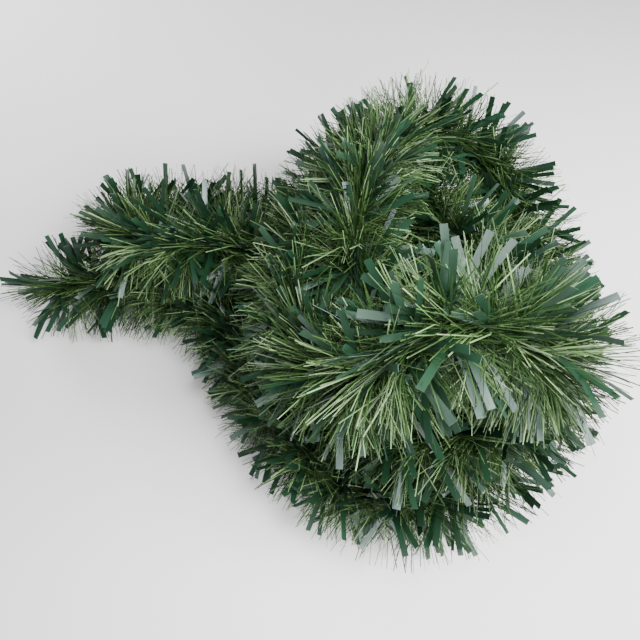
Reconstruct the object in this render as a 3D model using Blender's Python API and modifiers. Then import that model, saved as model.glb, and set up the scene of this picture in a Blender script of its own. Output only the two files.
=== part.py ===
"""A tinsel garland lying in a heap, as it comes out of its bag.

Two films, one cut into fine needles and one into broad strips, are held between a pair of
twisted wires. All four pieces follow one centre line, and one cross-section that turns slowly
along it keeps them apart: wire, fine film, broad film, wire.
"""
import math

import bmesh
import bpy
import numpy as np
from mathutils import Matrix, Vector

MM = 0.001

# The centre line through the heap, from the free end at the left to the end on top (metres).
ROUTE = [
    (-0.240, 0.045, 0.040), (-0.190, 0.050, 0.040), (-0.140, 0.040, 0.040), (-0.100, 0.025, 0.040),
    (-0.065, -0.010, 0.040), (-0.045, -0.050, 0.040), (-0.025, -0.085, 0.040), (0.000, -0.112, 0.040),
    (0.030, -0.132, 0.040), (0.065, -0.140, 0.040), (0.105, -0.128, 0.040), (0.140, -0.102, 0.040),
    (0.173, -0.065, 0.040), (0.193, -0.020, 0.040), (0.198, 0.030, 0.047), (0.188, 0.065, 0.062),
    (0.175, 0.095, 0.080), (0.155, 0.125, 0.097), (0.130, 0.148, 0.111), (0.098, 0.152, 0.122),
    (0.065, 0.125, 0.140), (0.040, 0.080, 0.157), (0.025, 0.035, 0.164), (0.024, 0.000, 0.154),
    (0.035, -0.020, 0.122), (0.058, -0.032, 0.082), (0.090, -0.038, 0.055), (0.125, -0.025, 0.043),
    (0.145, 0.010, 0.040), (0.135, 0.050, 0.040), (0.095, 0.080, 0.040), (0.035, 0.100, 0.040),
    (-0.035, 0.118, 0.040), (-0.100, 0.127, 0.041), (-0.150, 0.118, 0.050), (-0.170, 0.090, 0.072),
    (-0.152, 0.058, 0.094), (-0.115, 0.047, 0.100), (-0.080, 0.053, 0.095), (-0.040, 0.045, 0.080),
    (-0.010, 0.010, 0.062), (0.006, -0.042, 0.060), (0.032, -0.085, 0.078), (0.070, -0.108, 0.099),
    (0.110, -0.103, 0.106), (0.142, -0.080, 0.102), (0.158, -0.045, 0.095), (0.146, -0.005, 0.104),
    (0.120, 0.032, 0.113), (0.093, 0.072, 0.105), (0.077, 0.115, 0.090), (0.055, 0.145, 0.086),
    (0.028, 0.142, 0.094), (0.010, 0.100, 0.110), (-0.004, 0.035, 0.124), (-0.015, -0.022, 0.126),
    (-0.007, -0.065, 0.136), (0.013, -0.089, 0.157), (0.032, -0.093, 0.180), (0.048, -0.087, 0.197),
    (0.063, -0.082, 0.206), (0.078, -0.080, 0.208), (0.093, -0.081, 0.202), (0.112, -0.084, 0.186),
    (0.135, -0.082, 0.163),
]
HEAP_MIDDLE = (-0.0191, 0.0029)    # the middle of the heap's outline, moved to the origin
BARE_END = 45 * MM                  # bare wire past the film at the left end
CUT_END = 5 * MM                    # and at the end on top
LINE_STEP = 2 * MM
LINE_SOFTNESS = 10 * MM             # how far each bend is eased

# The cross-section: offsets from the centre line across the films (u) and in their plane (v).
WIRE_RADIUS = 0.45 * MM
WIRE_OFFSET = 2.4 * MM
WIRE_OFFSET_BARE = 0.7 * MM         # the wires draw together where no film lies between them
FILM_THICK = 1.0 * MM               # the films' gathered middle, several plies thick
FILM_OFFSET = 0.85 * MM
FILM_HALF = 1.2 * MM
ROOT_DEPTH = 0.45 * MM              # below the film's edge, where the fringe is rooted
RUN_LONGEST = 36 * MM               # the core is straight runs, shorter where it bends
RUN_TURN = math.radians(42)
SECTION_TURN = math.radians(45)     # the cross-section turns this much from run to run

# The fringes.
NEEDLE_LENGTH = (46 * MM, 54 * MM)
NEEDLE_RADIUS = 0.45 * MM
NEEDLE_ROOT_RADIUS = 0.32 * MM
NEEDLE_SPACING = 12 * MM            # along each edge of the film
STRIP_LENGTH = (46 * MM, 53 * MM)
STRIP_WIDTH = 5.0 * MM
STRIP_THICK = 0.6 * MM
STRIP_SPACING = 13 * MM
STRIP_KEPT = 0.55                   # share of the places along the edges that hold a strip
SPREAD = (math.radians(-42), math.radians(72))  # from the film's plane, towards its own side
LEAN = (math.radians(5), math.radians(30))      # towards the left end
END_TUFT = 30 * MM                  # where the fringe turns out round each end
TUFT_LEAN = math.radians(62)
CLEARANCE = 0.35 * MM
TRIES = 60
SHORTEST = 0.55                     # of its drawn length, where a needle has little room

# Strips bent flat under the heap, which it rests on.
REST_SPACING = 95 * MM
REST_HEIGHT = 43 * MM               # strands whose centre line is lower than this have them
REST_ANGLE = math.radians(24)       # from straight down
REST_FLAT = 9 * MM

WIRE_COLOUR = (0.045, 0.035, 0.028)
FINE_COLOUR = (0.16, 0.33, 0.09)
BROAD_COLOUR = (0.018, 0.095, 0.045)

random = np.random.default_rng(41)


def unit(vectors):
    """Vectors scaled to length one, along the last axis."""
    return vectors / np.linalg.norm(vectors, axis=-1, keepdims=True)


def centre_line():
    """Even points on a smooth curve through the route (Catmull-Rom, then eased)."""
    points = np.array(ROUTE) - (*HEAP_MIDDLE, 0)
    points = np.vstack([2 * points[0] - points[1], points, 2 * points[-1] - points[-2]])
    p0, p1, p2, p3 = (points[k:len(points) - 3 + k, None] for k in range(4))
    t = np.linspace(0, 1, 40, endpoint=False)[None, :, None]
    curve = 0.5 * (2 * p1 + (p2 - p0) * t + (2 * p0 - 5 * p1 + 4 * p2 - p3) * t ** 2
                   + (3 * p1 - p0 - 3 * p2 + p3) * t ** 3)
    curve = even_points(np.vstack([curve.reshape(-1, 3), points[-2]]))
    reach = int(3 * LINE_SOFTNESS / LINE_STEP)
    weights = np.exp(-0.5 * (np.arange(-reach, reach + 1) * LINE_STEP / LINE_SOFTNESS) ** 2)
    before = 2 * curve[0] - curve[reach:0:-1]
    after = 2 * curve[-1] - curve[-2:-reach - 2:-1]
    longer = np.vstack([before, curve, after])
    eased = [np.convolve(longer[:, k], weights / weights.sum(), "valid") for k in range(3)]
    return even_points(np.stack(eased, 1))


def even_points(curve):
    """The curve's points again, LINE_STEP apart."""
    length = np.concatenate([[0], np.cumsum(np.linalg.norm(np.diff(curve, axis=0), axis=1))])
    even = np.linspace(0, length[-1], int(length[-1] / LINE_STEP) + 1)
    return np.stack([np.interp(even, length, curve[:, k]) for k in range(3)], 1)


def stations(line):
    """Where the core's straight runs meet: closer together where the line bends more."""
    heading = unit(np.gradient(line, axis=0))
    turned = np.arccos(np.clip(np.sum(heading[1:] * heading[:-1], 1), -1, 1))
    use = LINE_STEP / RUN_LONGEST + turned / RUN_TURN
    used = np.concatenate([[0], np.cumsum(use)])
    count = int(used[-1]) + 1
    places = np.interp(np.linspace(0, used[-1], count), used, np.arange(len(line)))
    return np.unique(np.round(places).astype(int))


class Core:
    """The centre line's straight runs, with the cross-section's axes u and v at each station."""

    def __init__(self):
        line = centre_line()
        at = stations(line)
        self.point = line[at]
        self.along = at * LINE_STEP
        self.length = self.along[-1]
        heading = unit(np.gradient(line, axis=0))
        side = unit(np.cross(heading[0], (0, 0, 1)))
        sides = []
        for forward in heading:
            side = unit(side - forward * np.dot(side, forward))
            sides.append(side)
        side, forward = np.array(sides)[at], heading[at]
        lift = np.cross(forward, side)
        turn = (SECTION_TURN * np.arange(len(at)))[:, None]
        self.u = side * np.cos(turn) + lift * np.sin(turn)
        self.v = np.cross(forward, self.u)
        self.forward = forward

    def place(self, along, u=0.0, v=0.0):
        """The point at a distance along the core and offsets (u, v), on its straight runs."""
        k = min(int(np.searchsorted(self.along, along, "right")) - 1, len(self.along) - 2)
        share = (along - self.along[k]) / (self.along[k + 1] - self.along[k])
        ends = self.point + u * self.u + v * self.v
        return ends[k] * (1 - share) + ends[k + 1] * share

    def axes(self, along):
        """Forward, u and v at a distance along the core, square to the run there."""
        forward = unit(self.place(min(along + MM, self.length)) - self.place(along - MM))
        across = self.place(along, u=MM) - self.place(along)
        across = unit(across - forward * np.dot(across, forward))
        return forward, across, np.cross(forward, across)


def material(name, colour, metallic, roughness):
    """A plain material."""
    made = bpy.data.materials.new(name)
    made.use_nodes = True
    shader = made.node_tree.nodes["Principled BSDF"]
    shader.inputs["Base Color"].default_value = (*colour, 1)
    shader.inputs["Metallic"].default_value = metallic
    shader.inputs["Roughness"].default_value = roughness
    made.diffuse_color = (*colour, 1)
    return made


def new_object(name, mesh, collection):
    """The mesh as an object in the collection."""
    made = bpy.data.objects.new(name, mesh)
    collection.objects.link(made)
    return made


def wire(name, core, side, colour, collection):
    """One wire beside the films. It runs on past them at both ends, close to its partner."""
    u = np.full(len(core.point), side * WIRE_OFFSET)[:, None]
    points = core.point + u * core.u
    start = core.point[0] + side * WIRE_OFFSET_BARE * core.u[0]
    end = core.point[-1] + side * WIRE_OFFSET_BARE * core.u[-1]
    tip = start - core.forward[0] * BARE_END
    draw_in = start - core.forward[0] * 4 * MM
    cut = end + core.forward[-1] * CUT_END
    points = np.vstack([tip, draw_in, points, cut])
    curve = bpy.data.curves.new(name, "CURVE")
    curve.dimensions = "3D"
    curve.bevel_depth = WIRE_RADIUS
    curve.bevel_resolution = 0
    curve.use_fill_caps = True
    spline = curve.splines.new("POLY")
    spline.points.add(len(points) - 1)
    for point, place in zip(spline.points, points):
        point.co = (*place, 1)
    curve.materials.append(colour)
    return new_object(name, curve, collection)


def film(name, core, u, collection):
    """A film's gathered middle: a flat band along the core, split alike on both faces."""
    mesh = bpy.data.meshes.new(name)
    shape = bmesh.new()
    rows = len(core.point)
    bmesh.ops.create_grid(shape, x_segments=rows - 1, y_segments=2, size=FILM_HALF)
    for vertex in shape.verts:
        row = round((vertex.co.x / FILM_HALF + 1) / 2 * (rows - 1))
        vertex.co = Vector(core.point[row] + u * core.u[row] + vertex.co.y * core.v[row])
    bmesh.ops.triangulate(shape, faces=shape.faces[:], quad_method="FIXED")
    shape.to_mesh(mesh)
    shape.free()
    made = new_object(name, mesh, collection)
    solid = made.modifiers.new("Thickness", "SOLIDIFY")
    solid.thickness = FILM_THICK
    solid.offset = 0
    apply_modifiers(made)
    return made


def apply_modifiers(made):
    """Fix the object's modifiers into its mesh."""
    bpy.context.view_layer.update()
    mesh = bpy.data.meshes.new_from_object(made.evaluated_get(bpy.context.evaluated_depsgraph_get()))
    made.modifiers.clear()
    made.data = mesh


def needle_mesh(root, direction, length):
    """A fine needle: a slender three-sided rod, cut square."""
    mesh = bpy.data.meshes.new("needle")
    shape = bmesh.new()
    turn = Vector(direction).to_track_quat("Z", "Y").to_matrix().to_4x4()
    middle = Matrix.Translation(Vector(root + direction * length / 2))
    bmesh.ops.create_cone(shape, cap_ends=True, segments=3, radius1=NEEDLE_ROOT_RADIUS,
                          radius2=NEEDLE_RADIUS, depth=length, matrix=middle @ turn)
    shape.to_mesh(mesh)
    shape.free()
    return mesh


def strip_mesh(points, halves):
    """A broad strip along two or three points, mitred at a bend. Halves are the vectors from
    the middle of its width to one side, for each point: the first lies along the film's edge."""
    points = np.array(points)
    runs = unit(np.diff(points, axis=0))
    normals = np.cross(runs, unit(halves[-1]))
    mitres = unit(np.vstack([normals[:1], normals[:-1] + normals[1:], normals[-1:]]))
    ahead = np.vstack([normals, normals[-1:]])
    mitres /= np.sum(mitres * ahead, 1)[:, None]
    mesh = bpy.data.meshes.new("strip")
    shape = bmesh.new()
    bmesh.ops.create_cube(shape, size=2)
    if len(points) == 3:
        everything = shape.verts[:] + shape.edges[:] + shape.faces[:]
        bmesh.ops.bisect_plane(shape, geom=everything, plane_co=(0, 0, 0), plane_no=(0, 0, 1))
    for vertex in shape.verts:
        section = round((vertex.co.z + 1) / 2 * (len(points) - 1))
        vertex.co = Vector(points[section] + halves[section] * vertex.co.x
                           + mitres[section] * vertex.co.y * STRIP_THICK / 2)
    if shape.calc_volume(signed=True) < 0:
        bmesh.ops.reverse_faces(shape, faces=shape.faces[:])
    shape.to_mesh(mesh)
    shape.free()
    return mesh


class Room:
    """The space that is taken: the core, and the boxes round the strips and needles so far."""

    def __init__(self, core):
        self.core = core
        self.spots = np.array([core.place(s) for s in np.arange(0, core.length, 3 * MM)])
        self.spots_along = np.arange(0, core.length, 3 * MM)
        self.middles, self.axes, self.halves = [], [], []

    def add(self, start, end, across, half_width, half_thick):
        """Take the box from start to end."""
        direction = unit(end - start)
        self.middles.append((start + end) / 2)
        self.axes.append(np.stack([across, np.cross(direction, across), direction]))
        self.halves.append((half_width, half_thick, np.linalg.norm(end - start) / 2))

    def reach(self, samples, along, radius):
        """How many of the samples, from the root on, are clear of everything and the surface."""
        far = np.abs(self.spots_along - along) > 14 * MM
        to_core = np.linalg.norm(samples[:, None] - self.spots[None, far], axis=2).min(1)
        clear = to_core > WIRE_OFFSET + WIRE_RADIUS + radius + CLEARANCE + 0.5 * MM
        clear &= samples[:, 2] > radius + 0.3 * MM
        if self.middles:
            offset = samples[None] - np.array(self.middles)[:, None]
            local = np.abs(np.einsum("nij,nkj->nki", np.array(self.axes), offset))
            outside = np.maximum(local - np.array(self.halves)[:, None], 0)
            clear &= np.linalg.norm(outside, axis=2).min(0) > radius + CLEARANCE
        blocked = np.flatnonzero(~clear)
        return len(samples) if len(blocked) == 0 else blocked[0]


def lean_at(core, along):
    """A needle's lean towards the left end: a random one, more within each end's tuft."""
    lean = random.uniform(*LEAN)
    from_end = core.length - along
    if along < END_TUFT:
        lean = max(lean, TUFT_LEAN * (1 - along / END_TUFT) * random.uniform(0.3, 1))
    if from_end < 2.5 * END_TUFT:
        lean *= from_end / END_TUFT - 1.5
    if from_end < END_TUFT:
        lean = -TUFT_LEAN * (1 - from_end / END_TUFT) * random.uniform(0.3, 1)
    return lean


def ways_down(core, along):
    """Where a strip from the film could run down to the surface, to one side or the other."""
    forward, u, v = core.axes(along)
    across = unit(forward * (1, 1, 0))
    for edge in (1, -1):
        root = core.place(along, -FILM_OFFSET, edge * (FILM_HALF - ROOT_DEPTH))
        for out in (np.cross(across, (0, 0, 1)), np.cross((0, 0, 1), across)):
            down = out * math.sin(REST_ANGLE) - np.array((0, 0, math.cos(REST_ANGLE)))
            spread = math.atan2(-np.dot(down, u), edge * np.dot(down, v))
            if root[2] < REST_HEIGHT and SPREAD[0] < spread < SPREAD[1]:
                knee = root + down * (root[2] - STRIP_THICK / 2) / math.cos(REST_ANGLE)
                yield root, knee, knee + out * REST_FLAT, across


def rest_strips(core, room, collection):
    """Strips that run down from the low strands and lie flat on the surface."""
    made = []
    last = -REST_SPACING
    for start, end in zip(core.along[:-1], core.along[1:]):
        along = (start + end) / 2
        if end - start < 2 * STRIP_WIDTH or along - last < REST_SPACING:
            continue
        for root, knee, tip, across in ways_down(core, along):
            half = across * STRIP_WIDTH / 2
            free = np.linspace(root, knee, 20)[2:-1]
            lines = [free + half * side for side in (-1, 0, 1)]
            if min(room.reach(line, along, STRIP_THICK) for line in lines) < len(free):
                continue
            mesh = strip_mesh([root, knee, tip], [half, half, half])
            for vertex in mesh.vertices:
                if abs(vertex.co.z) < 0.01 * MM:
                    vertex.co.z = 0
            made.append(new_object("rest", mesh, collection))
            room.add(root, knee, across, STRIP_WIDTH / 2, STRIP_THICK / 2)
            room.add(knee, tip, across, STRIP_WIDTH / 2, STRIP_THICK / 2)
            print("rests at", np.round((knee + tip) / 2, 4))
            last = along
            break
    return made


def strips(core, room, collection):
    """The broad strips, at places away from the corners where the runs meet."""
    made = []
    for k in range(len(core.along) - 1):
        run = core.along[k + 1] - core.along[k]
        places = max(1, int(run / STRIP_SPACING))
        for place in range(places):
            for edge in (1, -1):
                if random.random() > STRIP_KEPT:
                    continue
                along = core.along[k] + run * (place + 0.5) / places
                forward, u, v = core.axes(along)
                root = core.place(along, -FILM_OFFSET, edge * (FILM_HALF - ROOT_DEPTH))
                for _ in range(TRIES):
                    spread = random.uniform(*SPREAD)
                    lean = lean_at(core, along)
                    length = random.uniform(*STRIP_LENGTH)
                    out = edge * v * math.cos(spread) - u * math.sin(spread)
                    direction = out * math.cos(lean) - forward * math.sin(lean)
                    across = forward * math.cos(lean) + out * math.sin(lean)
                    steps = np.arange(5 * MM, length, 2.5 * MM)[:, None]
                    edges = [root + direction * steps + across * STRIP_WIDTH / 2 * side
                             for side in (-1, 0, 1)]
                    reach = min(room.reach(line, along, STRIP_THICK) for line in edges)
                    if reach == len(steps):
                        break
                if reach < len(steps) * SHORTEST:
                    continue
                length = min(length, 5 * MM + reach * 2.5 * MM)
                start, end = root - out * 0.15 * MM, root + direction * length
                halves = [forward * STRIP_WIDTH / 2 / math.cos(lean), across * STRIP_WIDTH / 2]
                made.append(new_object("strip", strip_mesh([start, end], halves), collection))
                room.add(root, end, across, STRIP_WIDTH / 2, STRIP_THICK / 2)
    return made


def needles(core, room, collection):
    """The fine needles, along both edges of their film."""
    made = []
    for along in np.arange(2 * MM, core.length - 1 * MM, NEEDLE_SPACING):
        for edge in (1, -1):
            here = along + random.uniform(-0.4, 0.4) * NEEDLE_SPACING
            here = min(max(here, 1.2 * MM), core.length - 1.2 * MM)
            forward, u, v = core.axes(here)
            root = core.place(here, FILM_OFFSET, edge * (FILM_HALF - ROOT_DEPTH))
            best = (0, None, 0)
            for _ in range(TRIES):
                spread = random.uniform(*SPREAD)
                lean = lean_at(core, here)
                length = random.uniform(*NEEDLE_LENGTH)
                out = edge * v * math.cos(spread) + u * math.sin(spread)
                direction = out * math.cos(lean) - forward * math.sin(lean)
                steps = np.arange(0.9 * MM, length, 1 * MM)[:, None]
                reach = room.reach(root + direction * steps, here, NEEDLE_RADIUS)
                if reach == len(steps):
                    best = (reach, direction, length)
                    break
                if reach > best[0]:
                    best = (reach, direction, reach * MM)
            reach, direction, length = best
            if direction is None or length < NEEDLE_LENGTH[0] * SHORTEST:
                continue
            start = root - direction * 0.15 * MM
            mesh = needle_mesh(start, direction, length)
            made.append(new_object("needle", mesh, collection))
            across = unit(np.cross(direction, forward + 0.1 * u))
            room.add(start, start + direction * length, across, NEEDLE_RADIUS, NEEDLE_RADIUS)
    return made


def fill_hollows(mesh):
    """Keep the mesh's largest connected surface: a hollow sealed where strips cross is filled."""
    shape = bmesh.new()
    shape.from_mesh(mesh)
    left = set(shape.verts)
    surfaces = []
    while left:
        surface, edge = set(), [left.pop()]
        while edge:
            vertex = edge.pop()
            surface.add(vertex)
            near = {link.other_vert(vertex) for link in vertex.link_edges} & left
            left -= near
            edge.extend(near)
        surfaces.append(surface)
    surfaces.sort(key=len)
    print("hollows filled:", [len(surface) for surface in surfaces[:-1]])
    bmesh.ops.delete(shape, geom=[v for surface in surfaces[:-1] for v in surface], context="VERTS")
    shape.to_mesh(mesh)
    shape.free()


def join(body, pieces, workshop):
    """Fuse the pieces into the body and clear them away."""
    union = body.modifiers.new("Fringe", "BOOLEAN")
    union.operation = "UNION"
    union.operand_type = "COLLECTION"
    union.collection = workshop
    union.solver = "MANIFOLD"
    apply_modifiers(body)
    fill_hollows(body.data)
    for piece in pieces:
        bpy.data.objects.remove(piece)


def main():
    for made in list(bpy.data.objects):
        bpy.data.objects.remove(made)
    garland = bpy.data.collections.new("tinsel_garland")
    bpy.context.scene.collection.children.link(garland)
    core = Core()
    room = Room(core)
    steel = material("wire", WIRE_COLOUR, 0.8, 0.5)
    for name, side in (("wire_a", 1), ("wire_b", -1)):
        wire(name, core, side, steel, garland)
    workshop = bpy.data.collections.new("workshop")
    bpy.context.scene.collection.children.link(workshop)
    fringes = (
        ("broad_fringe", -FILM_OFFSET, BROAD_COLOUR, 0.4, (rest_strips, strips)),
        ("fine_fringe", FILM_OFFSET, FINE_COLOUR, 0.45, (needles,)),
    )
    for name, u, colour, roughness, makers in fringes:
        body = film(name, core, u, garland)
        body.data.materials.append(material(name, colour, 0, roughness))
        pieces = [piece for maker in makers for piece in maker(core, room, workshop)]
        print(name, len(pieces), "pieces")
        join(body, pieces, workshop)
        print(name, len(body.data.polygons), "faces")
    bpy.data.collections.remove(workshop)


main()
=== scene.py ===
# A tinsel garland lying in a heap: its look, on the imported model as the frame.
# The fringes grow from the garland's centre line as whole arrays of ribbons.
import math

import bpy
import numpy as np
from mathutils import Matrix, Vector


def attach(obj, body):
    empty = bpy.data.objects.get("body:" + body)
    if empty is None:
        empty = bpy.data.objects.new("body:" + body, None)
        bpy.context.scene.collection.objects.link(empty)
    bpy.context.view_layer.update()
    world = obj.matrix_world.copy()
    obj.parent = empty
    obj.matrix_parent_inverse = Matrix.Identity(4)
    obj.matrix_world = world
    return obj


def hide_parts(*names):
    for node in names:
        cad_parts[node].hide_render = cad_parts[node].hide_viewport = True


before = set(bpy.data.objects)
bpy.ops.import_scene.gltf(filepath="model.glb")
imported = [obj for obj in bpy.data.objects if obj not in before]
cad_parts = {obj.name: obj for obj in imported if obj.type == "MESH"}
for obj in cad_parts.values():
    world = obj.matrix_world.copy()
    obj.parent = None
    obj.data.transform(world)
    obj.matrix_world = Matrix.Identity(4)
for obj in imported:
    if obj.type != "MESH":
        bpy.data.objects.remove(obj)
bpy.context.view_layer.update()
mm = 0.001

# the garland's route through the heap, from the free end at the left to the end on top
routePoints = [
    (-0.240, 0.045, 0.040), (-0.190, 0.050, 0.040), (-0.140, 0.040, 0.040),
    (-0.100, 0.025, 0.040), (-0.065, -0.010, 0.040), (-0.045, -0.050, 0.040),
    (-0.025, -0.085, 0.040), (0.000, -0.112, 0.040), (0.030, -0.132, 0.040),
    (0.065, -0.140, 0.040), (0.105, -0.128, 0.040), (0.140, -0.102, 0.040),
    (0.173, -0.065, 0.040), (0.193, -0.020, 0.040), (0.198, 0.030, 0.047), (0.188, 0.065, 0.062),
    (0.175, 0.095, 0.080), (0.155, 0.125, 0.097), (0.130, 0.148, 0.111), (0.098, 0.152, 0.122),
    (0.065, 0.125, 0.140), (0.040, 0.080, 0.157), (0.025, 0.035, 0.164), (0.024, 0.000, 0.154),
    (0.035, -0.020, 0.122), (0.058, -0.032, 0.082), (0.090, -0.038, 0.055),
    (0.125, -0.025, 0.043), (0.145, 0.010, 0.040), (0.135, 0.050, 0.040), (0.095, 0.080, 0.040),
    (0.035, 0.100, 0.040), (-0.035, 0.118, 0.040), (-0.100, 0.127, 0.041), (-0.150, 0.118, 0.050),
    (-0.170, 0.090, 0.072), (-0.152, 0.058, 0.094), (-0.115, 0.047, 0.100),
    (-0.080, 0.053, 0.095), (-0.040, 0.045, 0.080), (-0.010, 0.010, 0.062),
    (0.006, -0.042, 0.060), (0.032, -0.085, 0.078), (0.070, -0.108, 0.099),
    (0.110, -0.103, 0.106), (0.142, -0.080, 0.102), (0.158, -0.045, 0.095),
    (0.146, -0.005, 0.104), (0.120, 0.032, 0.113), (0.093, 0.072, 0.105), (0.077, 0.115, 0.090),
    (0.055, 0.145, 0.086), (0.028, 0.142, 0.094), (0.010, 0.100, 0.110), (-0.004, 0.035, 0.124),
    (-0.015, -0.022, 0.126), (-0.007, -0.065, 0.136), (0.013, -0.089, 0.157),
    (0.032, -0.093, 0.180), (0.048, -0.087, 0.197), (0.063, -0.082, 0.206),
    (0.078, -0.080, 0.208), (0.093, -0.081, 0.202), (0.112, -0.084, 0.186),
    (0.135, -0.082, 0.163),
]
heapMiddle = np.array((-0.0191, 0.0029, 0.0))   # the place on the route's plan that is the origin
curvePoints = 40                                # from one route point to the next
lineSoftness = 10 * mm                          # over this length the curve is averaged
lineStep = 2 * mm                               # between the points of the finished line


def unit(v):
    return v / np.maximum(np.linalg.norm(v, axis=-1, keepdims=True), 1e-12)


def dot(a, b):
    return np.sum(a * b, axis=-1, keepdims=True)


def evenPoints(curve):
    # the same curve, with its points lineStep apart
    length = np.concatenate([[0], np.cumsum(np.linalg.norm(np.diff(curve, axis=0), axis=1))])
    even = np.linspace(0, length[-1], int(length[-1] / lineStep) + 1)
    return np.stack([np.interp(even, length, curve[:, k]) for k in range(3)], 1)


def centreLine():
    # a Catmull-Rom curve through the route, each coordinate then averaged with Gaussian weights
    p = np.array(routePoints) - heapMiddle
    p = np.vstack([2 * p[0] - p[1], p, 2 * p[-1] - p[-2]])
    p0, p1, p2, p3 = (p[k:len(p) - 3 + k, None] for k in range(4))
    t = np.linspace(0, 1, curvePoints, endpoint=False)[None, :, None]
    curve = 0.5 * (2 * p1 + (p2 - p0) * t + (2 * p0 - 5 * p1 + 4 * p2 - p3) * t ** 2
                   + (3 * p1 - p0 - 3 * p2 + p3) * t ** 3)
    curve = evenPoints(np.vstack([curve.reshape(-1, 3), p[-2]]))
    reach = int(3 * lineSoftness / lineStep)
    weights = np.exp(-0.5 * (np.arange(-reach, reach + 1) * lineStep / lineSoftness) ** 2)
    # both ends go on as their own mirror image, so that the average keeps them in place
    before = 2 * curve[0] - curve[reach:0:-1]
    after = 2 * curve[-1] - curve[-2:-reach - 2:-1]
    longer = np.vstack([before, curve, after])
    eased = [np.convolve(longer[:, k], weights / weights.sum(), "valid") for k in range(3)]
    return evenPoints(np.stack(eased, 1))


def sideAxes(forward):
    # a side axis carried along the line: each one is the last, made square to the line again
    side = unit(np.cross(forward[0], (0, 0, 1)))
    sides = []
    for ahead in forward:
        side = unit(side - ahead * np.dot(side, ahead))
        sides.append(side)
    return np.array(sides)


line = centreLine()
lineForward = unit(np.gradient(line, axis=0))
lineSide = sideAxes(lineForward)
lineLift = np.cross(lineForward, lineSide)
lineLength = (len(line) - 1) * lineStep
print("centre line: %.3f m" % lineLength)


def alongLine(values, along):
    # values at distances along the line, read between its points
    at = along / lineStep
    return np.stack([np.interp(at, np.arange(len(values)), values[:, k]) for k in range(3)], -1)


# every needle and strip is a ribbon, a thin closed band along its own path; on the film's map
# each tone has a column, halfWidth is a share of that column, and the ribbon's length ends at top
filmMap = {"tones": 64, "halfWidth": 0.35, "margin": 0.01, "top": 0.25}
ribbonLook = {"floorGap": 0.05 * mm, "sharpFrom": math.radians(50)}
slimSection = {"corners": [(0, 1), (1, -1), (-1, -1)], "cap": [(0, 2, 1)]}
camberedSection = {
    "corners": [(-1, 1), (0, 1), (1, 1), (1, -1), (0, -1), (-1, -1)],
    "cap": [(0, 5, 4, 1), (1, 4, 3, 2)],
}


def ribbonFaces(count, steps, sides, cap):
    # quads join each section to the next one, and a cap closes each end;
    # gives the corners of all faces in one row, and where each face starts in it
    corner = np.arange(count * steps * sides).reshape(count, steps, sides)
    nextSide = np.roll(corner, -1, axis=2)
    walls = np.stack([corner[:, :-1], nextSide[:, :-1], nextSide[:, 1:], corner[:, 1:]], -1)
    ends = np.concatenate([corner[:, 0][:, cap], corner[:, -1][:, cap[:, ::-1]]])
    starts = [np.arange(0, walls.size, 4), walls.size + np.arange(0, ends.size, cap.shape[1])]
    return np.concatenate([walls.ravel(), ends.ravel()]), np.concatenate(starts)


def ribbonMesh(name, path, across, halfWidth, halfThick, camber, tone):
    # corner = path + across * x * halfWidth + normal * (y * halfThick + camber * (1 - x^2))
    # for each corner (x, y) of the section, at every point of every path
    count, steps = path.shape[:2]
    section = camberedSection if camber else slimSection
    edge = np.array(section["corners"])
    x, y = edge[None, None, :, 0, None], edge[None, None, :, 1, None]
    tangent = unit(np.gradient(path, axis=1))
    across = unit(across - tangent * dot(across, tangent))
    normal = np.cross(tangent, across)
    corners = (path[:, :, None] + across[:, :, None] * x * halfWidth[:, :, None, None]
               + normal[:, :, None] * (y * halfThick + camber * (1 - x ** 2)))
    # a section that would dip into the surface is lifted onto it
    lowest = corners[..., 2].min(axis=2, keepdims=True)
    corners[..., 2] += np.maximum(ribbonLook["floorGap"] - lowest, 0)
    tones, margin = filmMap["tones"], filmMap["margin"]
    column = np.floor(tone * (tones - margin))[:, None, None]
    mapU = (column + 0.5 + filmMap["halfWidth"] * edge[None, None, :, 0]) / tones
    mapV = np.linspace(margin, filmMap["top"] - margin, steps)[None, :, None]
    flatMap = np.stack(np.broadcast_arrays(mapU, mapV), -1).reshape(-1, 2)
    faceCorners, faceStarts = ribbonFaces(count, steps, len(edge), np.array(section["cap"]))
    mesh = bpy.data.meshes.new(name)
    mesh.vertices.add(len(flatMap))
    mesh.vertices.foreach_set("co", corners.astype(np.float32).ravel())
    mesh.loops.add(len(faceCorners))
    mesh.loops.foreach_set("vertex_index", faceCorners.astype(np.int32))
    mesh.polygons.add(len(faceStarts))
    mesh.polygons.foreach_set("loop_start", faceStarts.astype(np.int32))
    for mapName in ("filmMap", "OFBake"):
        layer = mesh.uv_layers.new(name=mapName)
        layer.uv.foreach_set("vector", flatMap[faceCorners].astype(np.float32).ravel())
    mesh.update(calc_edges=True)
    mesh.shade_smooth()
    mesh.set_sharp_from_angle(angle=ribbonLook["sharpFrom"])
    return mesh


def addPiece(name, mesh, material, nodes):
    # a piece rides on the garland's one body and stands for the nodes
    piece = bpy.data.objects.new(name, mesh)
    bpy.context.scene.collection.objects.link(piece)
    piece.data.materials.append(material)
    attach(piece, "root")
    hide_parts(*nodes)
    mesh.calc_loop_triangles()
    print("%s: %d triangles" % (name, len(mesh.loop_triangles)))


strandKeep = {
    "own": 70 * mm,         # a needle heeds only cores farther than this along the garland
    "clear": 37 * mm,       # how near to another strand's core a tip stays
    "middle": 2 / 3,        # how far out it gives way first, and for what share of clear
    "middleClear": 0.75,
    "lower": 4 * mm,        # from this difference on, one strand is the lower one
    "lowGives": 0.95,       # share of the push that the lower strand's needles take
    "highGives": 0.45,
    "most": 1.3,            # the shift's most and its power along the needle
    "power": 1.5,
    "coreStep": 3,          # every third point of the line stands for the cores
}


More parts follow.
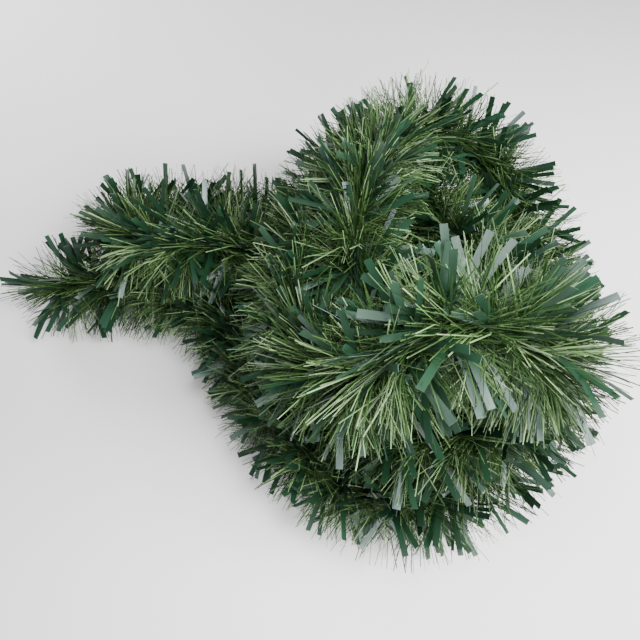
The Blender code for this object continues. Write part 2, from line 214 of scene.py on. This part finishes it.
def makeWay(path, along):
    # where a path nears another strand's core, it moves away, first at its middle, then its tip:
    # shift = (clear - distance) * share * (t / t there)^power
    keep, last = strandKeep, path.shape[1] - 1
    t = np.linspace(0, 1, last + 1)
    cores = line[::keep["coreStep"]]
    coreAlong = np.arange(0, len(line), keep["coreStep"]) * lineStep
    ownCore = np.abs(along[:, None] - coreAlong[None]) < keep["own"]
    ownHeight = alongLine(line, along)[:, 2]
    for at, clear in ((int(round(last * keep["middle"])), keep["clear"] * keep["middleClear"]),
                      (last, keep["clear"])):
        point = path[:, at]
        squared = (np.sum(point ** 2, 1)[:, None] + np.sum(cores ** 2, 1)[None]
                   - 2 * point @ cores.T)
        squared[ownCore] = np.inf
        nearest = cores[np.argmin(squared, 1)]
        away = point - nearest
        share = np.where(ownHeight < nearest[:, 2] - keep["lower"],
                         keep["lowGives"], keep["highGives"])
        push = np.maximum(clear - np.linalg.norm(away, axis=1), 0) * share
        outwards = np.minimum(t / t[at], keep["most"])[None, :, None] ** keep["power"]
        path += (unit(away) * push[:, None])[:, None] * outwards
    return path


floorRest = {"height": 0.3 * mm, "heightSpread": 2.5 * mm, "spill": 0.55, "rootShare": 0.2}


def settleOnFloor(path, direction, height):
    # a path whose tip would pass through the surface turns outwards along it and rests on it:
    # path + outwards * depth below * spill * t^2, and nowhere lower than height * a share
    t = np.linspace(0, 1, path.shape[1])[None, :, None]
    below = np.maximum(height - path[:, -1, 2], 0)[:, None, None]
    outwards = unit(direction * (1, 1, 0) + 1e-6)[:, None]
    path = path + outwards * below * floorRest["spill"] * t ** 2
    share = np.linspace(floorRest["rootShare"], 1, path.shape[1])
    path[:, :, 2] = np.maximum(path[:, :, 2], height[:, None] * share[None])
    return path


waveLook = {"count": 7, "length": (16 * mm, 60 * mm), "mostTurns": 3}


def waves(seed):
    # a smooth field over the garland: the sum of cos(2 pi * along / length + turns * angle
    # + phase) for each wave, times sqrt(2 / count)
    rng = np.random.default_rng(seed)
    count, most = waveLook["count"], waveLook["mostTurns"]
    lengths = rng.uniform(*waveLook["length"], count)
    turns = rng.integers(-most, most + 1, count)
    phases = rng.uniform(0, 2 * np.pi, count)

    def field(along, angle):
        each = np.cos(2 * np.pi * along[:, None] / lengths + turns * angle[:, None] + phases)
        return each.sum(1) * np.sqrt(2 / count)
    return field


leanWaves, angleWaves = waves(5), waves(6)

# what all needles and strips share
growth = {
    "jitter": 0.3 * mm, "rootOut": 0.6 * mm,    # of a root, along the line and out from it
    "fanSpread": 0.9, "leanFan": 0.6,           # how much fans differ, and open along the line
    "endLean": -0.5,                            # the lean is times this at the end on top
    "ownRoll": 0.4, "ownBend": 0.6,             # a ribbon's own noise, next to its bundle's
    "ownTone": 0.12, "lastTone": 0.999,
    "bendPower": (1.5, 3.2), "crease": (0.25, 0.75),
}


def placeBundles(look, rng):
    # each bundle's place along the line, its angle round it and its lean back along it:
    # angle = 2 pi * place / turn + edge + spread, where the wires' twist carries the two edges
    bundles = int(lineLength * look["bundlesPerMetre"])
    place = (np.arange(bundles) + rng.random(bundles)) / bundles * lineLength
    edge = rng.integers(0, 2, bundles) * np.pi
    angle = (2 * np.pi * place / look["turn"] + edge
             + rng.normal(0, look["edgeSpread"], bundles)) % (2 * np.pi)
    lean = look["lean"] + rng.normal(0, look["leanSpread"], bundles)
    # whole tufts lean one way or another and leave gaps between them
    lean = lean + look["tufts"] * leanWaves(place, angle)
    angle = angle + look["tufts"] * angleWaves(place, angle)
    stray = rng.random(bundles) < look["strays"]
    lean = lean + stray * rng.normal(0, look["strayLean"], bundles)
    # towards the left end they open into a tuft, and near the other end they turn the other way
    opening = np.clip(1 - place / look["tuft"], 0, 1)
    lean = lean + opening * look["tuftLean"] * rng.random(bundles)
    fromEnd = lineLength - place
    lean = lean * np.clip(fromEnd / look["tuft"] - 1, growth["endLean"], 1)
    opening = np.clip(1 - fromEnd / look["tuft"], 0, 1)
    lean = lean - opening * look["tuftLean"] * rng.random(bundles)
    return place, angle, lean


def spreadMembers(look, rng, place, angle, lean):
    # members lie a pitch apart, as parallel as cut film or fanned out, each a little off:
    # value = bundle's + step * fan * bundle's noise + fan * own noise
    bundles, members = len(place), look["perBundle"]
    size = (bundles, members)
    each = (np.arange(members) - (members - 1) / 2)[None]
    fan = look["fan"] * rng.lognormal(0, growth["fanSpread"], (bundles, 1))
    along = place[:, None] + each * look["pitch"] + rng.normal(0, growth["jitter"], size)
    angles = (angle[:, None] + each * fan * rng.normal(0, 1, (bundles, 1))
              + fan * rng.normal(0, 1, size))
    leans = (lean[:, None] + each * fan * rng.normal(0, growth["leanFan"], (bundles, 1))
             + fan * rng.normal(0, 1, size))
    return np.clip(along, 0, lineLength).ravel(), angles.ravel(), leans.ravel()


def growFringe(look, rng):
    # every ribbon of a fringe starts from its root by the line, in the direction
    # cos(lean) * (cos(angle) * side + sin(angle) * lift) - sin(lean) * forward
    place, angle, lean = placeBundles(look, rng)
    along, angles, leans = spreadMembers(look, rng, place, angle, lean)
    bundles, count = len(place), len(along)

    def shared(values):
        # a bundle's value for each of its members
        return np.repeat(values, look["perBundle"], axis=0)

    def noise(spread, own):
        # the bundle's and the ribbon's own, together
        return shared(rng.normal(0, spread, bundles)) + rng.normal(0, spread * own, count)

    low, high = look["length"]
    length = shared(low + (high - low) * rng.random(bundles))
    length = (length + rng.normal(0, look["raggedness"], count))[:, None]
    forward, side, lift = (alongLine(axis, along) for axis in (lineForward, lineSide, lineLift))
    out = side * np.cos(angles)[:, None] + lift * np.sin(angles)[:, None]
    direction = out * np.cos(leans)[:, None] - forward * np.sin(leans)[:, None]
    root = alongLine(line, along) + out * growth["rootOut"]
    t = np.linspace(0, 1, look["steps"])
    # the width starts along the garland and rolls round the ribbon
    roll = noise(look["roll"], growth["ownRoll"])[:, None]
    roll = roll + rng.normal(0, look["twist"], count)[:, None] * t
    flat = unit(forward - direction * dot(forward, direction))[:, None]
    square = np.cross(direction, flat[:, 0])[:, None]
    across = flat * np.cos(roll)[:, :, None] + square * np.sin(roll)[:, :, None]
    # film bends across its flat more than within it, a little late or early along the ribbon,
    # and sinks under its weight, most of all where it lies level:
    # path = root + length * (direction * t + bend * t^power - z * sag * t^2)
    thin = np.cross(direction, across[:, 0])
    bend = noise(look["bend"], growth["ownBend"])[:, None] * thin
    bend = bend + rng.normal(0, look["bend"] * look["inPlane"], (count, 1)) * across[:, 0]
    power = shared(rng.uniform(*growth["bendPower"], bundles))[:, None, None]
    level = np.sqrt(np.sum(direction[:, :2] ** 2, 1))[:, None, None]
    sag = look["sag"] * level * np.array((0, 0, 1))
    far = t[None, :, None]
    path = root[:, None] + length[:, None] * (direction[:, None] * far
                                              + bend[:, None] * far ** power - sag * far ** 2)
    # each is creased across somewhere and goes on at another angle
    crease = rng.uniform(*growth["crease"], (count, 1, 1))
    kink = rng.normal(0, look["kink"], (count, 1)) * length * thin
    path += kink[:, None] * np.maximum(far - crease, 0)
    path = makeWay(path, along)
    height = floorRest["height"] + rng.random(count) * floorRest["heightSpread"]
    path = settleOnFloor(path, direction, height)
    halfWidth = (look["width"] / 2 * (1 + rng.normal(0, look["widthSpread"], count)))[:, None]
    halfWidth = halfWidth * np.interp(t, *look["taper"])[None]
    tone = shared(rng.random(bundles)) + rng.normal(0, growth["ownTone"], count)
    return path, across, halfWidth, np.clip(tone, 0, growth["lastTone"]), along


def addFringe(name, look, material, rng):
    # a fringe is made in stretches of the garland, so that no piece is too heavy
    path, across, halfWidth, tone, along = growFringe(look, rng)
    edges = np.linspace(0, lineLength, look["stretches"] + 1)
    edges[-1] += 1      # the last stretch takes in the line's very end
    for k in range(look["stretches"]):
        here = (along >= edges[k]) & (along < edges[k + 1])
        mesh = ribbonMesh(name, path[here], across[here], halfWidth[here], look["thick"] / 2,
                          look["camber"], tone[here])
        addPiece("%s%d" % (name, k + 1), mesh, material, [look["node"]])


def newMaterial(name, roughness, specular, ior=1.5):
    material = bpy.data.materials.new(name)
    material.use_nodes = True
    shader = material.node_tree.nodes["Principled BSDF"]
    shader.inputs["IOR"].default_value = ior
    shader.inputs["Roughness"].default_value = roughness
    shader.inputs["Specular IOR Level"].default_value = specular
    return material, material.node_tree, shader


def addNode(tree, kind, **values):
    node = tree.nodes.new(kind)
    for key, value in values.items():
        setattr(node, key, value)
    return node


def mathNode(tree, operation, a, b=None):
    node = addNode(tree, "ShaderNodeMath", operation=operation)
    for socket, value in zip(node.inputs, (a, b)):
        if hasattr(value, "links"):
            tree.links.new(value, socket)
        elif value is not None:
            socket.default_value = value
    return node.outputs[0]


def noiseNode(tree, scale, detail, vector):
    node = addNode(tree, "ShaderNodeTexNoise")
    node.inputs["Scale"].default_value = scale
    node.inputs["Detail"].default_value = detail
    tree.links.new(vector, node.inputs["Vector"])
    return node.outputs[0]


def rampNode(tree, factor, stops):
    node = addNode(tree, "ShaderNodeValToRGB")
    ramp = node.color_ramp
    while len(ramp.elements) < len(stops):
        ramp.elements.new(0.5)
    for element, (position, colour) in zip(ramp.elements, stops):
        element.position = position
        element.color = (*colour, 1)
    tree.links.new(factor, node.inputs[0])
    return node.outputs[0]


def multiplyColours(tree, a, b):
    node = addNode(tree, "ShaderNodeMix", data_type="RGBA", blend_type="MULTIPLY")
    node.inputs[0].default_value = 1.0
    tree.links.new(a, node.inputs[6])
    tree.links.new(b, node.inputs[7])
    return node.outputs[2]


def addBump(tree, shader, height, strength, distance):
    bump = addNode(tree, "ShaderNodeBump")
    bump.inputs["Strength"].default_value = strength
    bump.inputs["Distance"].default_value = distance
    tree.links.new(height, bump.inputs["Height"])
    tree.links.new(bump.outputs[0], shader.inputs["Normal"])


# the faint streaks of rolled film: how fast the noise runs across, along and from tone to tone
streakLook = {"across": 7.0, "along": 1.6, "tone": 57.0, "detail": 2.0,
              "bump": 0.35, "depth": 0.08 * mm}


def filmReader():
    # reads the film's map: tone = whole column / tones, along = height / top,
    # and noise stretched along the ribbon gives its streaks, other ones for each tone
    group = bpy.data.node_groups.new("filmPlace", "ShaderNodeTree")
    for name in ("Tone", "Along", "Streaks"):
        group.interface.new_socket(name, in_out="OUTPUT", socket_type="NodeSocketFloat")
    uv = addNode(group, "ShaderNodeUVMap", uv_map="filmMap")
    parts = addNode(group, "ShaderNodeSeparateXYZ")
    group.links.new(uv.outputs[0], parts.inputs[0])
    tones = float(filmMap["tones"])
    columns = mathNode(group, "MULTIPLY", parts.outputs[0], tones)
    across = mathNode(group, "FRACT", columns)
    tone = mathNode(group, "DIVIDE", mathNode(group, "FLOOR", columns), tones)
    along = mathNode(group, "MULTIPLY", parts.outputs[1], 1 / filmMap["top"])
    sample = addNode(group, "ShaderNodeCombineXYZ")
    stretched = (("across", across), ("along", along), ("tone", tone))
    for socket, (key, value) in zip(sample.inputs, stretched):
        group.links.new(mathNode(group, "MULTIPLY", value, streakLook[key]), socket)
    streaks = noiseNode(group, 1.0, streakLook["detail"], sample.outputs[0])
    out = addNode(group, "NodeGroupOutput")
    for name, value in (("Tone", tone), ("Along", along), ("Streaks", streaks)):
        group.links.new(value, out.inputs[name])
    return group


filmPlace = filmReader()
filmGloss = {"ior": 1.52, "toneRate": 23.7}     # toneRate tells the ribbons' roughness apart


def filmMaterial(look):
    # base colour = the tone's colour * a painted shade along the ribbon, darkest at its root
    # where the fringe shades itself, full at its tip;
    # roughness = smoothest + spread / 2 * (the part of tone * toneRate past a whole + streaks)
    mean = look["smoothest"] + look["spread"] / 2
    material, tree, shader = newMaterial(look["name"], mean, look["specular"], filmGloss["ior"])
    shader.inputs["Specular Tint"].default_value = (*look["glossTint"], 1)
    place = addNode(tree, "ShaderNodeGroup", node_tree=filmPlace)
    tone, along, streaks = (place.outputs[name] for name in ("Tone", "Along", "Streaks"))
    colour = multiplyColours(tree, rampNode(tree, tone, look["tones"]),
                             rampNode(tree, along, look["paintedRootShade"]))
    tree.links.new(colour, shader.inputs["Base Color"])
    own = mathNode(tree, "FRACT", mathNode(tree, "MULTIPLY", tone, filmGloss["toneRate"]))
    both = mathNode(tree, "MULTIPLY", mathNode(tree, "ADD", own, streaks), look["spread"] / 2)
    tree.links.new(mathNode(tree, "ADD", both, look["smoothest"]), shader.inputs["Roughness"])
    addBump(tree, shader, streaks, streakLook["bump"], streakLook["depth"])
    return material


fineFinish = {
    "name": "fineNeedleFilm", "smoothest": 0.37, "spread": 0.16, "specular": 0.3,
    "glossTint": (1.0, 1.0, 1.0),
    # the tones differ at random from needle to needle; their wide range down to near black is
    # painted shade, standing for needles that lie in shadow
    "tones": [(0.0, (0.006, 0.021, 0.003)), (0.40, (0.018, 0.049, 0.010)),
              (0.76, (0.064, 0.127, 0.038)), (1.0, (0.250, 0.375, 0.180))],
    # painted shade: each needle is darkened towards its root, where the fringe shades itself
    "paintedRootShade": [(0.0, (0.32, 0.46, 0.22)), (0.35, (0.60, 0.72, 0.50)),
               (0.75, (0.96, 0.98, 0.92)), (1.0, (1.0, 1.0, 1.0))],
}
broadFinish = {
    "name": "broadStripFilm", "smoothest": 0.29, "spread": 0.20, "specular": 0.6,
    "glossTint": (0.86, 0.97, 1.0),
    "tones": [(0.0, (0.005, 0.025, 0.009)), (0.5, (0.008, 0.037, 0.015)),
              (1.0, (0.016, 0.057, 0.029))],
    # painted shade: each strip is darkened towards its root, where the fringe shades itself
    "paintedRootShade": [(0.0, (0.26, 0.38, 0.28)), (0.5, (0.78, 0.86, 0.78)), (1.0, (1.0, 1.0, 1.0))],
}

wireFinish = {
    "grain": 650.0, "detail": 4.0, "bump": 0.4, "depth": 0.05 * mm, "specular": 0.5,
    "rubbedFrom": 0.66, "coatMetal": 0.4, "rubbedMetal": 0.5, "smoothest": 0.3, "spread": 0.3,
    "colours": [(0.0, (0.030, 0.019, 0.012)), (0.58, (0.048, 0.033, 0.022)),
                (0.68, (0.16, 0.15, 0.14)), (1.0, (0.21, 0.20, 0.19))],
}


def wireMaterial():
    # a dark coat, rubbed through to the steel in small spots where the noise passes rubbedFrom;
    # roughness = smoothest + spread * noise
    look = wireFinish
    mean = look["smoothest"] + look["spread"] / 2
    material, tree, shader = newMaterial("coatedWire", mean, look["specular"])
    coordinates = addNode(tree, "ShaderNodeTexCoord")
    wear = noiseNode(tree, look["grain"], look["detail"], coordinates.outputs["Object"])
    tree.links.new(rampNode(tree, wear, look["colours"]), shader.inputs["Base Color"])
    rubbed = mathNode(tree, "GREATER_THAN", wear, look["rubbedFrom"])
    metal = mathNode(tree, "MULTIPLY", rubbed, look["rubbedMetal"])
    tree.links.new(mathNode(tree, "ADD", metal, look["coatMetal"]), shader.inputs["Metallic"])
    rough = mathNode(tree, "MULTIPLY", wear, look["spread"])
    tree.links.new(mathNode(tree, "ADD", rough, look["smoothest"]), shader.inputs["Roughness"])
    addBump(tree, shader, wear, look["bump"], look["depth"])
    return material


wireLook = {"radius": 0.4 * mm, "offset": 0.55 * mm, "turn": 9 * mm, "sides": 6,
            "bareEnd": 45 * mm, "cutEnd": 5 * mm, "step": 1.25 * mm}


def wireMesh(name, phase):
    # a helix round the line: centre = line + offset * (cos(w) * side + sin(w) * lift),
    # with w = 2 pi * along / turn + phase, and a round section carried along it
    look = wireLook
    along = np.arange(-look["bareEnd"], lineLength + look["cutEnd"], look["step"])
    inside = np.clip(along, 0, lineLength)
    middle = alongLine(line, inside) + alongLine(lineForward, inside) * (along - inside)[:, None]
    w = (2 * np.pi * along / look["turn"] + phase)[:, None]
    side, lift = alongLine(lineSide, inside), alongLine(lineLift, inside)
    centre = middle + look["offset"] * (np.cos(w) * side + np.sin(w) * lift)
    ahead = unit(np.gradient(centre, axis=0))
    outer = unit(centre - middle)
    outer = unit(outer - ahead * dot(outer, ahead))
    third = np.cross(ahead, outer)
    a = (np.arange(look["sides"]) / look["sides"] * 2 * np.pi)[None, :, None]
    ring = outer[:, None] * np.cos(a) + third[:, None] * np.sin(a)
    corners = (centre[:, None] + ring * look["radius"]).reshape(-1, 3)
    corner = np.arange(len(corners)).reshape(len(centre), look["sides"])
    around = np.roll(corner, -1, axis=1)
    walls = np.stack([corner[:-1], around[:-1], around[1:], corner[1:]], -1).reshape(-1, 4)
    ends = [corner[0, ::-1].tolist(), corner[-1].tolist()]
    mesh = bpy.data.meshes.new(name)
    mesh.from_pydata(corners.tolist(), [], walls.tolist() + ends)
    mesh.shade_smooth()
    return mesh


filmMiddle = {"halfWidth": 2.0 * mm, "thick": 0.6 * mm, "turn": 9 * mm, "step": 1.5 * mm}


def middleMesh(name, phase, tone):
    # the gathered middle of a film: one ribbon along the line whose width turns with the wires,
    # across = cos(w) * side + sin(w) * lift, with w = 2 pi * along / turn + phase
    look = filmMiddle
    along = np.arange(0, lineLength, look["step"])
    w = (2 * np.pi * along / look["turn"] + phase)[:, None]
    across = np.cos(w) * alongLine(lineSide, along) + np.sin(w) * alongLine(lineLift, along)
    path = alongLine(line, along)[None]
    halfWidth = np.full((1, len(along)), look["halfWidth"])
    return ribbonMesh(name, path, across[None], halfWidth, look["thick"] / 2, 0, np.array([tone]))


fineLook = {
    "slot": "light_green_film", "node": "fine_fringe", "stretches": 4,
    "bundlesPerMetre": 2500, "perBundle": 6, "pitch": 1.0 * mm, "fan": 0.15,
    "turn": 13 * mm, "edgeSpread": 1.2,             # how the cut edges wind round the core
    "lean": 0.24, "leanSpread": 0.46, "tufts": 0.36,
    "strays": 0.54, "strayLean": 0.90,              # the share of bundles that lie astray
    "tuft": 30 * mm, "tuftLean": 0.75,              # how far in the ends open, and how much
    "length": (40 * mm, 51 * mm), "raggedness": 0.8 * mm,
    "width": 0.65 * mm, "widthSpread": 0.16, "taper": ([0, 0.15, 0.9, 1], [0.7, 1, 1, 0.85]),
    "thick": 0.2 * mm, "camber": 0, "steps": 3,
    "roll": 1.0, "twist": 0.7, "bend": 0.17, "inPlane": 0.6, "sag": 0.06, "kink": 0.2,
}
broadLook = {
    "slot": "dark_green_film", "node": "broad_fringe", "stretches": 2,
    "bundlesPerMetre": 680, "perBundle": 2, "pitch": 2.5 * mm, "fan": 0.15,
    "turn": 13 * mm, "edgeSpread": 1.2,
    "lean": 0.24, "leanSpread": 0.46, "tufts": 0.36,
    "strays": 0.5, "strayLean": 0.7,
    "tuft": 30 * mm, "tuftLean": 0.75,
    "length": (46 * mm, 53 * mm), "raggedness": 0.6 * mm,
    "width": 4.1 * mm, "widthSpread": 0.07, "taper": ([0, 0.12, 1], [0.5, 1, 1]),
    "thick": 0.2 * mm, "camber": 0.1 * mm, "steps": 5,
    "roll": 0.5, "twist": 0.35, "bend": 0.09, "inPlane": 0.1, "sag": 0.05, "kink": 0.22,
}
# short needles close round the core, left by the cutting of the film
shortLook = {
    **fineLook, "stretches": 1, "bundlesPerMetre": 680, "perBundle": 3, "fan": 0.25,
    "lean": 0.1, "leanSpread": 0.6, "length": (9 * mm, 26 * mm), "raggedness": 3 * mm,
    "bend": 0.25, "sag": 0,
}

coatedWire = wireMaterial()
for name, node, phase in (("wireA", "wire_a", 0.0), ("wireB", "wire_b", math.pi)):
    addPiece(name, wireMesh(name, phase), coatedWire, [node])
fineFilm, broadFilm = filmMaterial(fineFinish), filmMaterial(broadFinish)
for name, look, film, phase, tone in (("fineMiddle", fineLook, fineFilm, 1.0, 0.3),
                                      ("broadMiddle", broadLook, broadFilm, 2.1, 0.4)):
    addPiece(name, middleMesh(name, phase, tone), film, [look["node"]])
rng = np.random.default_rng(55)
addFringe("broadStrips", broadLook, broadFilm, rng)
addFringe("shortNeedles", shortLook, fineFilm, rng)
addFringe("fineNeedles", fineLook, fineFilm, rng)

floorLook = {"size": 6.0, "colour": (0.95, 0.95, 0.94), "roughness": 0.7, "specular": 0.3}


def makeFloor():
    half = floorLook["size"] / 2
    corners = [(-half, -half, 0), (half, -half, 0), (half, half, 0), (-half, half, 0)]
    mesh = bpy.data.meshes.new("floor")
    mesh.from_pydata(corners, [], [(0, 1, 2, 3)])
    floor = bpy.data.objects.new("floor", mesh)
    bpy.context.scene.collection.objects.link(floor)
    material, tree, shader = newMaterial("paleFloor", floorLook["roughness"],
                                         floorLook["specular"])
    shader.inputs["Base Color"].default_value = (*floorLook["colour"], 1)
    mesh.materials.append(material)


def aim(item, place, target):
    item.location = place
    item.rotation_euler = (Vector(target) - Vector(place)).to_track_quat("-Z", "Y").to_euler()


# round soft lights: places and sizes in metres, power in watts
lightLook = {
    "keyBox": {"place": (0.60, -0.34, 1.00), "target": (0.06, -0.05, 0.10), "size": 0.40,
               "power": 14.5, "colour": (1.0, 0.995, 1.0)},
    "sideBox": {"place": (0.90, -0.15, 0.55), "target": (0.06, -0.05, 0.10), "size": 0.40,
                "power": 14.0, "colour": (1.0, 0.995, 1.0)},
    "frontBox": {"place": (0.35, -0.75, 0.70), "target": (0.06, -0.05, 0.10), "size": 0.40,
                 "power": 7.5, "colour": (1.0, 0.995, 1.0)},
    "backBox": {"place": (-0.66, 0.72, 0.55), "target": (-0.02, 0.02, 0.08), "size": 0.50,
                "power": 10.0, "colour": (0.985, 0.995, 1.0)},
    "archLamp": {"place": (0.05, -0.09, 0.42), "target": (0.08, -0.08, 0.20), "size": 0.12,
                 "power": 1.3, "colour": (1.0, 0.985, 1.0)},
}
roomLook = {"colour": (0.95, 0.97, 1.0), "strength": 0.15}


def addLight(name, look):
    light = bpy.data.lights.new(name, "AREA")
    light.shape = "DISK"
    light.size = look["size"]
    light.energy = look["power"]
    light.color = look["colour"]
    item = bpy.data.objects.new(name, light)
    bpy.context.scene.collection.objects.link(item)
    aim(item, look["place"], look["target"])


def lightRoom():
    world = bpy.data.worlds.new("room")
    world.use_nodes = True
    background = world.node_tree.nodes["Background"]
    background.inputs["Color"].default_value = (*roomLook["colour"], 1)
    background.inputs["Strength"].default_value = roomLook["strength"]
    bpy.context.scene.world = world


# the camera aims at the point at this height over the route's own zero, from this distance
cameraLook = {"elevation": math.radians(62), "distance": 0.42, "height": 0.06,
              "lens": 28.125, "sensor": 36, "nearest": 0.01}


def addCamera():
    # the photo looks down steeply on the heap from the front, from close by
    look = cameraLook
    target = np.array((0, 0, look["height"])) - heapMiddle
    back = np.array((0, -math.cos(look["elevation"]), math.sin(look["elevation"])))
    camera = bpy.data.cameras.new("camera")
    camera.lens = look["lens"]
    camera.sensor_width = look["sensor"]
    camera.clip_start = look["nearest"]
    item = bpy.data.objects.new("camera", camera)
    bpy.context.scene.collection.objects.link(item)
    aim(item, target + back * look["distance"], target)
    bpy.context.scene.camera = item


makeFloor()
for name, look in lightLook.items():
    addLight(name, look)
lightRoom()
addCamera()
print("floor, %d lights and the camera are set" % len(lightLook))
